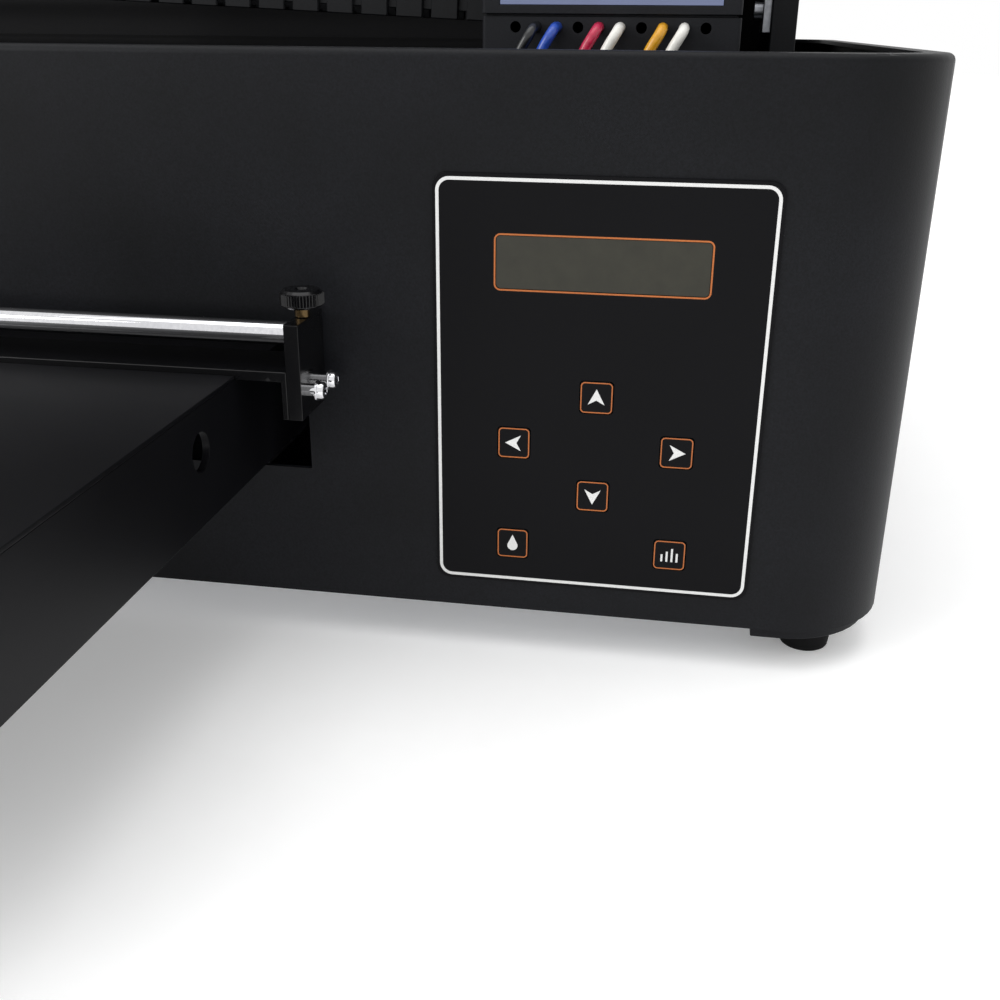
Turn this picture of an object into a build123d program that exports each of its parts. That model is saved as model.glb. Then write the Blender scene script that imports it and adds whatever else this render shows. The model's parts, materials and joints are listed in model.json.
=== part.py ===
"""Desktop flatbed UV printer: open steel tub, sliding bed, media clamp, keypad panel, gantry and ink carriage.

Millimetres, +Z up, front towards -Y. The origin is on the table, under the middle of the whole machine.
Each sub-part is written to parts/NODE.step.
"""
import math
import os

from build123d import *

# ---- driving dimensions -------------------------------------------------------------------------
CASE_W, CASE_D, CASE_H = 650.0, 440.0, 196.0  # tub, outside
CASE_R = 38.0  # upright corners
SHEET = 2.0  # tub sheet
RIM_FLANGE = 10.0  # inward flange round the top
RIM_R = 2.6  # rolled outer edge of the rim
FOOT_H, FOOT_R = 12.0, 10.5
PAD_T, PAD_L, PAD_INSET = 5.0, 48.0, 3.5  # corner plates between tub and feet
PAN_T = 2.0  # base pan inside the tub
BED_W, BED_T = 196.0, 40.0
OPENING_W = 226.0  # gap in the front wall, wider than the bed so that a sheet may overhang it
CLAMP_W = 232.0  # clamp plate, over its end tabs
BED_OUT, BED_IN = 230.0, 400.0  # bed length before and behind the front wall
BED_TRAVEL = 290.0
BED_SKIRT, BED_PLATE = 2.5, 1.5
BED_CLEAR = 3.0  # under the bed in the front wall
MEDIA_H = 12.0  # tallest sheet that passes under the front wall
PANEL_W, PANEL_H, PANEL_T, PANEL_R = 114.0, 147.0, 1.0, 5.0
LCD_W, LCD_H, LCD_T = 71.0, 17.8, 0.8
KEY, KEY_R, KEY_GAP, KEY_TRAVEL = 11.4, 1.4, 0.2, 0.5
KEY_DX, KEY_ROW = 28.5, 18.3  # keypad pitch across, and between rows
CAR_W, CAR_D = 98.0, 100.0  # carriage cover
HEAD_GAP = 2.0  # nozzle plate above the tallest sheet
PLATE_T = 10.0  # gantry side plates
HOOD_H = 400.0
TUBE_R, TUBE_PITCH = 2.0, 8.0
RUN = 0.05  # radial running clearance
GAP = 0.3  # clearance between parts that pass each other
REAR_LIP = 2.0  # flanges on the rear wall
SWITCH_W, SWITCH_H = 19.0, 13.0
INLET_W, INLET_H = 27.0, 20.0

# ---- places worked out from them ------------------------------------------------------------------
TOTAL_D = CASE_D + BED_OUT + REAR_LIP
FRONT = -TOTAL_D / 2 + BED_OUT  # outer face of the front wall
BACK = FRONT + CASE_D
TUB_Z = FOOT_H + PAD_T
RIM_Z = TUB_Z + CASE_H
PAN_Z = TUB_Z + PAN_T  # top of the base pan
BED_Z = 111.0  # bed surface
BED_BOTTOM = BED_Z - BED_T
BED_FRONT = FRONT - BED_OUT
BED_BACK = FRONT + BED_IN
PANEL_X = CASE_W / 2 - 108.0
LCD_Z = RIM_Z - 66.0
PANEL_Z = LCD_Z - 45.0
KEY_TOP_Z = LCD_Z - 45.2
KEY_Z = [KEY_TOP_Z - KEY_ROW * n for n in range(3)] + [KEY_TOP_Z - 57.3]
CAR_X = PANEL_X - 8.0  # carriage centre, parked
CAR_Y = FRONT + 90.0  # carriage front face
CAR_SEAM_Z = RIM_Z + 11.0
CAR_BOTTOM = 150.0
HEAD_Z = BED_Z + MEDIA_H + HEAD_GAP
DISPLAY_H = 61.0
PLATE_X = 270.0  # inner face of the gantry plates
PLATE_Y = FRONT + 120.0
HOOD_BACK = BACK - 10.0


def block(x0, x1, y0, y1, z0, z1):
    return Pos((x0 + x1) / 2, (y0 + y1) / 2, (z0 + z1) / 2) * Box(abs(x1 - x0), abs(y1 - y0), abs(z1 - z0))


def rod_x(x0, x1, y, z, r):
    return Pos((x0 + x1) / 2, y, z) * Rot(0, 90, 0) * Cylinder(r, abs(x1 - x0))


def rod_y(y0, y1, x, z, r):
    return Pos(x, (y0 + y1) / 2, z) * Rot(90, 0, 0) * Cylinder(r, abs(y1 - y0))


def rod_z(z0, z1, x, y, r):
    return Pos(x, y, (z0 + z1) / 2) * Cylinder(r, abs(z1 - z0))


def upright(width, depth, radius, z0, z1, y_mid):
    """A prism with rounded upright corners."""
    outline = RectangleRounded(width, depth, radius)
    return Pos(0, y_mid, z0) * extrude(outline, z1 - z0)


def plaque(width, height, radius, x, z, y0, y1):
    """A rounded plate that faces the front, from y0 to y1."""
    outline = Pos(x, y1, z) * Rot(90, 0, 0) * RectangleRounded(width, height, radius)
    return extrude(outline, y1 - y0)


def save(name, solids):
    """Writes one node. A list of solids stays separate solids."""
    shape = Compound(children=list(solids)) if isinstance(solids, (list, tuple)) else solids
    export_step(shape, f"parts/{name}.step")
    return shape


KEYS = {
    "key_up": (PANEL_X, KEY_Z[0]),
    "key_left": (PANEL_X - KEY_DX, KEY_Z[1]),
    "key_right": (PANEL_X + KEY_DX, KEY_Z[1]),
    "key_down": (PANEL_X, KEY_Z[2]),
    "key_clean": (PANEL_X - KEY_DX, KEY_Z[3]),
    "key_test": (PANEL_X + KEY_DX, KEY_Z[3]),
}
MID_Y = (FRONT + BACK) / 2
SWITCH_X, INLET_X, REAR_Z = -220.0, -170.0, 62.0


# ---- tub, feet and panel -----------------------------------------------------------------------------
def make_casing():
    shell = upright(CASE_W, CASE_D, CASE_R, TUB_Z, RIM_Z, MID_Y)
    shell = fillet(shell.faces().sort_by(Axis.Z)[-1].edges(), RIM_R)
    inner_w, inner_d = CASE_W - 2 * SHEET, CASE_D - 2 * SHEET
    shell -= upright(inner_w, inner_d, CASE_R - SHEET, TUB_Z - 1, RIM_Z - SHEET, MID_Y)
    shell -= upright(CASE_W - 2 * RIM_FLANGE, CASE_D - 2 * RIM_FLANGE, CASE_R - RIM_FLANGE, RIM_Z - 9, RIM_Z + 9, MID_Y)
    half = OPENING_W / 2
    shell -= block(-half, half, FRONT - 5, FRONT + 5, BED_BOTTOM - BED_CLEAR, BED_Z + MEDIA_H)
    shell -= plaque(LCD_W - 5, LCD_H - 2, 1, PANEL_X, LCD_Z, FRONT - 1, FRONT + 5)
    for x, z in KEYS.values():
        shell -= plaque(KEY + 2 * KEY_GAP, KEY + 2 * KEY_GAP, KEY_R, x, z, FRONT - 1, FRONT + 5)
    shell -= plaque(SWITCH_W + 0.4, SWITCH_H + 0.4, 1, SWITCH_X, REAR_Z, BACK - 5, BACK + 5)
    shell -= plaque(INLET_W + 0.4, INLET_H + 0.4, 1, INLET_X, REAR_Z, BACK - 5, BACK + 5)
    return shell


def make_corner_pads():
    ring = upright(CASE_W - 2 * PAD_INSET, CASE_D - 2 * PAD_INSET, CASE_R - PAD_INSET, FOOT_H, TUB_Z, MID_Y)
    pads = []
    for sx in (-1, 1):
        for sy in (-1, 1):
            cx, cy = sx * CASE_W / 2, MID_Y + sy * CASE_D / 2
            corner = block(cx - sx * PAD_L, cx, cy - sy * PAD_L, cy, FOOT_H, TUB_Z)
            pads.append((ring & corner).solids()[0])
    return pads


def foot_places():
    reach = PAD_INSET + 22.5
    return [(sx * (CASE_W / 2 - reach), MID_Y + sy * (CASE_D / 2 - reach)) for sx in (-1, 1) for sy in (-1, 1)]


def make_feet():
    feet = []
    for x, y in foot_places():
        foot = Pos(x, y, FOOT_H / 2) * Cone(FOOT_R - 1.5, FOOT_R, FOOT_H)
        feet.append(fillet(foot.faces().sort_by(Axis.Z)[0].edges(), 1.2))
    return feet


def make_panel():
    panel = plaque(PANEL_W, PANEL_H, PANEL_R, PANEL_X, PANEL_Z, FRONT - PANEL_T, FRONT)
    panel -= plaque(LCD_W, LCD_H, 1.6, PANEL_X, LCD_Z, FRONT - 5, FRONT + 5)
    for x, z in KEYS.values():
        panel -= plaque(KEY + 2 * KEY_GAP, KEY + 2 * KEY_GAP, KEY_R, x, z, FRONT - 5, FRONT + 5)
    return panel


BOARD_Y = FRONT + 12.0  # front of the keypad board
KEY_BACK = FRONT + 5.0


def make_control_board():
    low, high = KEY_Z[3] - 14, LCD_Z - 22
    board = block(PANEL_X - 48, PANEL_X + 48, BOARD_Y, BOARD_Y + 1.6, low, high)
    for sx in (-1, 1):
        for z in (low + 4, high - 4):
            board += rod_y(FRONT + SHEET, BOARD_Y, PANEL_X + sx * 44, z, 2.5)
    for x, z in KEYS.values():
        board += block(x - 3, x + 3, KEY_BACK + KEY_TRAVEL + GAP, BOARD_Y, z - 3, z + 3)
    return board


os.makedirs("parts", exist_ok=True)
save("casing", make_casing())
save("corner_pads", make_corner_pads())
save("feet", make_feet())
pan = upright(CASE_W - 2 * SHEET, CASE_D - 2 * SHEET, CASE_R - SHEET, TUB_Z, PAN_Z, MID_Y)
save("base_pan", pan)
save("panel_overlay", make_panel())
save("lcd_window", plaque(LCD_W - 0.2, LCD_H - 0.2, 1.5, PANEL_X, LCD_Z, FRONT - LCD_T, FRONT))
save("lcd_module", block(PANEL_X - 40, PANEL_X + 40, FRONT + SHEET, FRONT + SHEET + 9, LCD_Z - 18, LCD_Z + 18))
save("control_board", make_control_board())
for key_name, (key_x, key_z) in KEYS.items():
    save(key_name, plaque(KEY, KEY, KEY_R, key_x, key_z, FRONT - PANEL_T - 0.2, KEY_BACK))

# ---- rear panel: rocker switch and mains inlet ----------------------------------------------------------


PIVOT_R, PIVOT_IN, PIN_HALF = 1.2, 2.5, 5.4  # pivot pin of the rocker


def make_switch_frame():
    frame = plaque(SWITCH_W + 4, SWITCH_H + 4, 1.5, SWITCH_X, REAR_Z, BACK, BACK + 1.5)
    frame += plaque(SWITCH_W, SWITCH_H, 1, SWITCH_X, REAR_Z, BACK - 16, BACK)
    frame -= block(SWITCH_X - 8.2, SWITCH_X + 8.2, BACK - 11, BACK + 5, REAR_Z - 4.5, REAR_Z + 4.5)
    return frame - rod_z(REAR_Z - PIN_HALF - 0.1, REAR_Z + PIN_HALF + 0.1, SWITCH_X, BACK - PIVOT_IN, PIVOT_R + RUN)


def make_rocker():
    profile = Polyline((-6.9, 0.2), (0, -1.2), (6.9, 1.6), (6.0, -5.0), (0, -6.5), (-6.0, -5.0), close=True)
    face = make_face(Plane.XY * profile)
    rocker = Pos(SWITCH_X, BACK + REAR_LIP - 1.6, REAR_Z - 4.2) * extrude(face, 8.4)
    return rocker + rod_z(REAR_Z - PIN_HALF, REAR_Z + PIN_HALF, SWITCH_X, BACK - PIVOT_IN, PIVOT_R)


def make_inlet():
    inlet = plaque(INLET_W + 8, INLET_H + 4, 2, INLET_X, REAR_Z, BACK, BACK + REAR_LIP)
    inlet += plaque(INLET_W, INLET_H, 1, INLET_X, REAR_Z, BACK - 22, BACK)
    inlet -= plaque(INLET_W - 4, INLET_H - 4, 2, INLET_X, REAR_Z, BACK - 16, BACK + 5)
    for dx, dz in ((-6, -1), (0, 3), (6, -1)):
        inlet += block(INLET_X + dx - 1, INLET_X + dx + 1, BACK - 17, BACK - 3, REAR_Z + dz - 2, REAR_Z + dz + 2)
    return inlet


save("switch_frame", make_switch_frame())
save("switch_rocker", make_rocker())
save("mains_inlet", make_inlet())

# ---- bed, its rails and its screw ---------------------------------------------------------------------
RAIL_X, RAIL_Z, RAIL_R = 70.0, 50.0, 6.0
RAIL_ENDS = (FRONT + 15.0, FRONT + 425.0)
SUPPORT_L = 12.0
BEARING_L, BEARING_W, BEARING_H = 34.0, 34.0, 22.0
BEARING_Y = (FRONT + 336.0, FRONT + 383.0)
TRAY_TOP = 2.0
TRAY_UNDER = BED_Z - BED_PLATE - TRAY_TOP
SCREW_R, SCREW_CORE = 4.0, 3.4
MOTOR_W = 39.0
NUT_Y = FRONT + 360.0
HOLE_R, HOLE_DROP, HOLE_BEFORE = 6.5, 16.0, 60.0  # cable hole in each side of the bed
CLAMP_D, CLAMP_T = 26.0, 2.0
CLAMP_Y0 = FRONT - CLAMP_D - 3.0
CLAMP_MID = CLAMP_Y0 + CLAMP_D / 2


def make_bed_tray():
    mid, length = (BED_FRONT + BED_BACK) / 2, BED_OUT + BED_IN
    tray = upright(BED_W, length, 3, BED_BOTTOM, BED_Z - BED_PLATE, mid)
    inner = 2 * BED_SKIRT
    tray -= upright(BED_W - inner, length - inner, 1, BED_BOTTOM - 1, TRAY_UNDER, mid)
    return tray - rod_x(-BED_W, BED_W, FRONT - HOLE_BEFORE, BED_Z - HOLE_DROP, HOLE_R)


def make_top_plates():
    """Two sheets that butt against the clamp plate, one before it and one behind it."""
    mid = (BED_FRONT + BED_BACK) / 2
    sheet = upright(BED_W, BED_OUT + BED_IN, 3, BED_Z - BED_PLATE, BED_Z, mid)
    sheet -= block(-BED_W, BED_W, CLAMP_Y0, CLAMP_Y0 + CLAMP_D, BED_Z - BED_T, BED_Z + BED_T)
    return list(sheet.solids())


def make_bed_bearings():
    solids = []
    for sx in (-1, 1):
        for y in BEARING_Y:
            x = sx * RAIL_X
            half_w, half_l = BEARING_W / 2, BEARING_L / 2
            body = block(x - half_w, x + half_w, y - half_l, y + half_l, RAIL_Z - BEARING_H / 2, RAIL_Z + BEARING_H / 2)
            body += block(x - half_w + 5, x + half_w - 5, y - half_l + 3, y + half_l - 3, RAIL_Z + 8, TRAY_UNDER)
            solids.append(body - rod_y(y - half_l - 1, y + half_l + 1, x, RAIL_Z, RAIL_R + RUN))
    return solids


def make_rail_supports():
    solids = []
    for sx in (-1, 1):
        for y0 in (RAIL_ENDS[0], RAIL_ENDS[1] - SUPPORT_L):
            x = sx * RAIL_X
            post = block(x - 16, x + 16, y0, y0 + SUPPORT_L, PAN_Z, RAIL_Z + 12)
            solids.append(post - rod_y(y0 - 1, y0 + SUPPORT_L + 1, x, RAIL_Z, RAIL_R))
    y0 = RAIL_ENDS[0]
    bearing = block(-15, 15, y0, y0 + 10, PAN_Z, RAIL_Z + 12)
    solids.append(bearing - rod_y(y0 - 1, y0 + 11, 0, RAIL_Z, SCREW_CORE + RUN))
    return solids


def make_bed_screw():
    y0, y1 = RAIL_ENDS[0] + 2, RAIL_ENDS[1] - 30
    screw = rod_y(y0, y1, 0, RAIL_Z, SCREW_CORE)
    for n in range(int((y1 - y0 - 20) / 8)):
        collar = y0 + 12 + n * 8
        screw += rod_y(collar, collar + 4, 0, RAIL_Z, SCREW_R)
    return screw


def make_bed_motor():
    y0 = RAIL_ENDS[1] - 40
    half = MOTOR_W / 2
    motor = block(-half, half, y0, RAIL_ENDS[1], RAIL_Z - half, RAIL_Z + half)
    motor += block(-24, 24, y0 + 6, y0 + 26, PAN_Z, RAIL_Z - half)
    return motor - rod_y(y0 - 1, y0 + 12, 0, RAIL_Z, SCREW_CORE + RUN)


def make_bed_nut():
    nut = block(-14, 14, NUT_Y - 10, NUT_Y + 10, RAIL_Z - 12, RAIL_Z + 12)
    nut += block(-10, 10, NUT_Y - 8, NUT_Y + 8, RAIL_Z + 8, TRAY_UNDER)
    return nut - rod_y(NUT_Y - 11, NUT_Y + 11, 0, RAIL_Z, SCREW_R + RUN)


save("bed_tray", make_bed_tray())
save("bed_top_plate", make_top_plates())
save("bed_bearings", make_bed_bearings())
save("bed_nut", make_bed_nut())
save("bed_rails", [rod_y(*RAIL_ENDS, sx * RAIL_X, RAIL_Z, RAIL_R) for sx in (-1, 1)])
save("rail_supports", make_rail_supports())
save("bed_screw", make_bed_screw())
save("bed_motor", make_bed_motor())

# ---- media clamp on the bed ---------------------------------------------------------------------------
TAB_X = CLAMP_W / 2 - CLAMP_T  # inner face of the plate's end tabs
BRACKET_X = TAB_X + CLAMP_T
BRACKET_T, BRACKET_H = 5.0, 32.5
BRACKET_TOP = BED_Z + 18.0
BAR_R, BAR_Z, BAR_DROP = 4.0, BED_Z + 12.0, 5.0
SLOT_DEEP = 3.0
KNOB_X = BRACKET_X + BRACKET_T / 2
KNOB_R, KNOB_T, STEM_R, STEM_H = 7.5, 6.0, 2.6, 3.5
SCREW_DY, SCREW_DZ, HEAD_R, HEAD_L = 6.5, 5.5, 3.0, 2.4
SPACER_L, SPACER_R, WASHER_T = 3.4, 2.2, 0.6  # the screws stand off the bracket
SOCKET_R, SOCKET_L, SOCKET_IN = 1.5, 1.3, 0.6  # hexagon socket in each head
KNURLS = 30


def make_clamp_plate():
    edge = BRACKET_X
    plate = block(-edge, edge, CLAMP_Y0, CLAMP_Y0 + CLAMP_D, BED_Z - BED_PLATE, BED_Z + CLAMP_T)
    for sx in (-1, 1):
        plate += block(sx * TAB_X, sx * edge, CLAMP_Y0, CLAMP_Y0 + CLAMP_D, BRACKET_TOP - BRACKET_H, BED_Z + 1)
    return plate


def make_bracket(sx):
    bracket = block(sx * BRACKET_X, sx * (BRACKET_X + BRACKET_T), CLAMP_Y0, CLAMP_Y0 + CLAMP_D,
                    BRACKET_TOP - BRACKET_H, BRACKET_TOP)
    half = BAR_R + 0.2
    slot = block(sx * (BRACKET_X - 1), sx * (BRACKET_X + SLOT_DEEP), CLAMP_MID - half, CLAMP_MID + half,
                 BAR_Z - BAR_DROP - half, BAR_Z + half)
    bracket -= slot
    return bracket - rod_z(BAR_Z, BRACKET_TOP + 1, sx * KNOB_X, CLAMP_MID, 1.9 + RUN)


def make_thumb_screw(sx):
    x, y = sx * KNOB_X, CLAMP_MID
    z0 = BRACKET_TOP + STEM_H
    knob = rod_z(z0, z0 + KNOB_T, x, y, KNOB_R)
    for n in range(KNURLS):
        angle = 360 / KNURLS * n
        groove = Rot(0, 0, angle) * Pos(KNOB_R, 0, 0) * Rot(0, 0, 45) * Box(0.9, 0.9, KNOB_T - 1.2)
        knob -= Pos(x, y, z0 + KNOB_T / 2) * groove
    knob += rod_z(BRACKET_TOP + 0.2, z0, x, y, STEM_R)
    return knob + rod_z(BAR_Z + BAR_R + 0.3, BRACKET_TOP + 0.2, x, y, 1.9)


def make_clamp_screws():
    solids = []
    for sx in (-1, 1):
        face = BRACKET_X + BRACKET_T
        seat = face + SPACER_L
        out = seat + WASHER_T + HEAD_L
        for sy in (-1, 1):
            y, z = CLAMP_MID + sy * SCREW_DY, BED_Z - SCREW_DZ
            head = rod_x(sx * face, sx * seat, y, z, SPACER_R)
            head += rod_x(sx * seat, sx * (seat + WASHER_T), y, z, HEAD_R + WASHER_T)
            head += rod_x(sx * (seat + WASHER_T), sx * out, y, z, HEAD_R)
            hexagon = extrude(RegularPolygon(SOCKET_R, 6), SOCKET_L, both=True)
            socket = Pos(sx * (out - SOCKET_IN), y, z) * Rot(0, 90, 0) * hexagon
            solids.append(head - socket)
    return solids


bar_reach = BRACKET_X + SLOT_DEEP - 0.3
save("clamp_plate", make_clamp_plate())
save("clamp_bracket_left", make_bracket(-1))
save("clamp_bracket_right", make_bracket(1))
save("clamp_screws", make_clamp_screws())
save("clamp_bar", rod_x(-bar_reach, bar_reach, CLAMP_MID, BAR_Z, BAR_R))
save("thumb_screw_left", make_thumb_screw(-1))
save("thumb_screw_right", make_thumb_screw(1))

# ---- gantry: side plates, hood, beam, rail and belt drive -----------------------------------------------
BEAM_Y0, BEAM_Y1, BEAM_Z0, BEAM_Z1 = FRONT + 210.0, FRONT + 250.0, 170.0, 245.0
RAIL_BAR_Y0, RAIL_BAR_Z, RAIL_BAR_H = FRONT + 202.0, 190.0, 12.0
BELT_Y0, BELT_W, BELT_T, BELT_Z = FRONT + 196.0, 6.0, 1.5, 222.0
PULLEY_R, PULLEY_X, PIN_R = 8.0, 240.0, 2.5
HOOD_T = 2.0
STOP_T = 3.0
CAR_BACK = CAR_Y + CAR_D


def make_gantry_plate(sx):
    """Stands on the base pan, with a sloping front edge above the rim."""
    outline = Polyline((PLATE_Y, PAN_Z), (HOOD_BACK - HOOD_T, PAN_Z), (HOOD_BACK - HOOD_T, HOOD_H - HOOD_T),
                       (PLATE_Y + 40, HOOD_H - HOOD_T), (PLATE_Y, RIM_Z + 115), close=True)
    inner, outer = sx * PLATE_X, sx * (PLATE_X + PLATE_T)
    face = Pos(min(inner, outer), 0, 0) * make_face(Plane.YZ * outline)
    return extrude(face, PLATE_T, dir=(1, 0, 0))


def make_hood():
    reach = PLATE_X + PLATE_T
    hood = block(-reach, reach, PLATE_Y + 40, HOOD_BACK, HOOD_H - HOOD_T, HOOD_H)
    hood += block(-reach, reach, HOOD_BACK - HOOD_T, HOOD_BACK, RIM_Z - 40, HOOD_H)
    for n in range(9):
        x = -80 + n * 20
        hood -= block(x - 4, x + 4, HOOD_BACK - 5, HOOD_BACK + 5, HOOD_H - 70, HOOD_H - 30)
    return hood


def make_beam():
    beam = block(-PLATE_X, PLATE_X, BEAM_Y0, BEAM_Y1, BEAM_Z0, BEAM_Z1)
    beam -= block(-PLATE_X - 1, PLATE_X + 1, BEAM_Y0 + 3, BEAM_Y1 - 3, BEAM_Z0 + 3, BEAM_Z1 - 3)
    beam -= rod_y(BEAM_Y0 - 1, BEAM_Y1 + 1, -PULLEY_X, BELT_Z, PIN_R + 1.5)
    return beam + rod_y(BELT_Y0 - 1, BEAM_Y0 + 1, PULLEY_X, BELT_Z, PIN_R)


def make_beam_bolts():
    solids = []
    for sx in (-1, 1):
        face = PLATE_X + PLATE_T
        for y in (BEAM_Y0 + 10, BEAM_Y1 - 10):
            for z in (BEAM_Z0 + 14, BEAM_Z1 - 14):
                head = rod_x(sx * face, sx * (face + 5), y, z, 4.2)
                head -= Pos(sx * (face + 5), y, z) * Rot(0, 90, 0) * extrude(RegularPolygon(2.2, 6), 2.5, both=True)
                solids.append(head)
    return solids


def make_home_stop():
    """Bumper bracket on the right plate, with its two bolts."""
    y0 = PLATE_Y + 4
    stop = block(PLATE_X - STOP_T, PLATE_X, y0, y0 + 26, CAR_SEAM_Z - 6, CAR_SEAM_Z + 34)
    for z in (CAR_SEAM_Z + 2, CAR_SEAM_Z + 24):
        stop += rod_x(PLATE_X - STOP_T - 3.5, PLATE_X - STOP_T, y0 + 10, z, 3.4)
    return stop


def make_belt():
    outer = SlotOverall(2 * (PULLEY_X + PULLEY_R + BELT_T), 2 * (PULLEY_R + BELT_T))
    inner = SlotOverall(2 * (PULLEY_X + PULLEY_R + RUN), 2 * (PULLEY_R + RUN))
    return extrude(Pos(0, BELT_Y0 + BELT_W, BELT_Z) * Rot(90, 0, 0) * (outer - inner), BELT_W)


def make_pulley(x, y_end):
    pulley = rod_y(BELT_Y0, BELT_Y0 + BELT_W, x, BELT_Z, PULLEY_R)
    pulley += rod_y(BELT_Y0 - 1.5, BELT_Y0 - 0.2, x, BELT_Z, PULLEY_R + 2.5)
    pulley += rod_y(BELT_Y0 - 0.2, BELT_Y0, x, BELT_Z, PULLEY_R - 1)
    return pulley + rod_y(BELT_Y0 + BELT_W, y_end, x, BELT_Z, PIN_R)


def make_x_motor():
    half = 21.0
    motor = block(-PULLEY_X - half, -PULLEY_X + half, BEAM_Y1, BEAM_Y1 + 40, BELT_Z - half, BELT_Z + half)
    return motor - rod_y(BEAM_Y1 - 1, BEAM_Y1 + 14, -PULLEY_X, BELT_Z, PIN_R + RUN)


def make_idler():
    idler = rod_y(BELT_Y0, BELT_Y0 + BELT_W, PULLEY_X, BELT_Z, PULLEY_R)
    return idler - rod_y(BELT_Y0 - 2, BELT_Y0 + BELT_W + 1, PULLEY_X, BELT_Z, PIN_R + RUN)


rail_low, rail_high = RAIL_BAR_Z - RAIL_BAR_H / 2, RAIL_BAR_Z + RAIL_BAR_H / 2
save("gantry_plate_left", make_gantry_plate(-1))
save("gantry_plate_right", make_gantry_plate(1))
save("hood", make_hood())
save("gantry_beam", make_beam())
save("beam_bolts", make_beam_bolts())
save("home_stop", make_home_stop())
save("carriage_rail", block(-PLATE_X + 6, PLATE_X - 6, RAIL_BAR_Y0, BEAM_Y0, rail_low, rail_high))
save("drive_belt", make_belt())
save("drive_pulley", make_pulley(-PULLEY_X, BEAM_Y1 + 12))
save("idler_pulley", make_idler())
save("carriage_motor", make_x_motor())

# ---- carriage ---------------------------------------------------------------------------------------------
CAR_X0, CAR_X1 = CAR_X - CAR_W / 2, CAR_X + CAR_W / 2
COVER_T = 3.0
HOLE_Z = CAR_SEAM_Z - 4.7
HOLES = 10
TUBE_SLOTS = (1, 2, 4, 5, 7, 8)  # the other holes of the row stay open
FIRST_HOLE = CAR_X - (HOLES - 1) * TUBE_PITCH / 2
SCREEN_W, SCREEN_T = 84.0, 0.8
MANIFOLD_TOP, MANIFOLD_H, TUBE_DROP_Y = 152.0, 14.0, CAR_Y - 12.0
TUBE_LEAN = 9.0
TUBE_BEND = 9.0
CHAIN_Y, CHAIN_Z, CHAIN_R = CAR_Y + 45.0, CAR_SEAM_Z + 3.0, 40.0
LINK_L, LINK_W, LINK_H, LINK_PITCH = 11.6, 17.0, 12.0, 15.0
POCKET_L, POCKET_W, TONGUE_SHORT = 7.5, 12.0, 6.2


def make_carriage_cover():
    cover = block(CAR_X0, CAR_X1, CAR_Y, CAR_BACK, CAR_BOTTOM, CAR_SEAM_Z - 1)
    cover = fillet(cover.edges().filter_by(Axis.Z), 1.5)
    cover -= block(CAR_X0 + COVER_T, CAR_X1 - COVER_T, CAR_Y + COVER_T, CAR_BACK - COVER_T,
                   CAR_BOTTOM + COVER_T, CAR_SEAM_Z + 5)
    for n in range(HOLES):
        cover -= rod_y(CAR_Y - 1, CAR_Y + 5, FIRST_HOLE + n * TUBE_PITCH, HOLE_Z, TUBE_R + RUN)
    return cover


def make_display_housing():
    """Upper half of the carriage: a shadow gap at its foot and a shallow recess for the screen."""
    housing = block(CAR_X0, CAR_X1, CAR_Y - 1, CAR_BACK, CAR_SEAM_Z, CAR_SEAM_Z + DISPLAY_H)
    housing = fillet(housing.edges().filter_by(Axis.Z), 1.5)
    housing = fillet(housing.faces().sort_by(Axis.Z)[-1].edges(), 1.2)
    housing += block(CAR_X0 + 1.5, CAR_X1 - 1.5, CAR_Y + 1.5, CAR_BACK - 1.5, CAR_SEAM_Z - 1, CAR_SEAM_Z)
    housing -= block(CAR_X0 + 5, CAR_X1 - 5, CAR_Y + 4, CAR_BACK - 4, CAR_SEAM_Z - 5, CAR_SEAM_Z + DISPLAY_H - 4)
    tongue = POCKET_W / 2 - GAP
    housing += block(CAR_X0 - 5, CAR_X0 + 1, CHAIN_Y - tongue, CHAIN_Y + tongue, CHAIN_Z - 2, CHAIN_Z + 2)
    low, high = CAR_SEAM_Z + 3, CAR_SEAM_Z + DISPLAY_H - 6
    half = SCREEN_W / 2
    return housing - block(CAR_X - half, CAR_X + half, CAR_Y - 5, CAR_Y - 1 + SCREEN_T, low, high)


def make_carriage_plate():
    plate = block(CAR_X0, CAR_X1, CAR_BACK, CAR_BACK + 2, HEAD_Z + 5, CAR_SEAM_Z)
    slider = block(CAR_X - 24, CAR_X + 24, CAR_BACK + 2, RAIL_BAR_Y0 + 3, rail_low - 8, rail_high + 8)
    slider -= block(CAR_X - 25, CAR_X + 25, RAIL_BAR_Y0 - RUN, RAIL_BAR_Y0 + 9, rail_low - RUN, rail_high + RUN)
    run = BELT_Z - PULLEY_R - BELT_T / 2
    clip = block(CAR_X - 8, CAR_X + 8, CAR_BACK + 2, BELT_Y0 + BELT_W + 1, run - 3, run + 3)
    clip -= block(CAR_X - 9, CAR_X + 9, BELT_Y0 - 0.2, BELT_Y0 + BELT_W + 9, run - 1, run + 1)
    return plate + slider + clip


def make_print_head():
    head = block(CAR_X - 22, CAR_X + 22, CAR_Y + 22, CAR_Y + 78, HEAD_Z + 6, CAR_BOTTOM)
    return head + block(CAR_X - 16, CAR_X + 16, CAR_Y + 28, CAR_Y + 72, HEAD_Z, HEAD_Z + 6)


def make_uv_lamp():
    lamp = block(CAR_X0 - 22, CAR_X0, CAR_Y + 14, CAR_Y + 86, HEAD_Z + 3, CAR_BOTTOM + 40)
    lamp -= block(CAR_X0 - 19, CAR_X0 - 3, CAR_Y + 18, CAR_Y + 82, HEAD_Z + 2, HEAD_Z + 4)
    for n in range(9):
        z = CAR_BOTTOM + n * 4
        lamp -= block(CAR_X0 - 23, CAR_X0 - 17, CAR_Y + 18, CAR_Y + 82, z, z + 2)
    return lamp


def tube_x(slot):
    return FIRST_HOLE + slot * TUBE_PITCH


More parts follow.
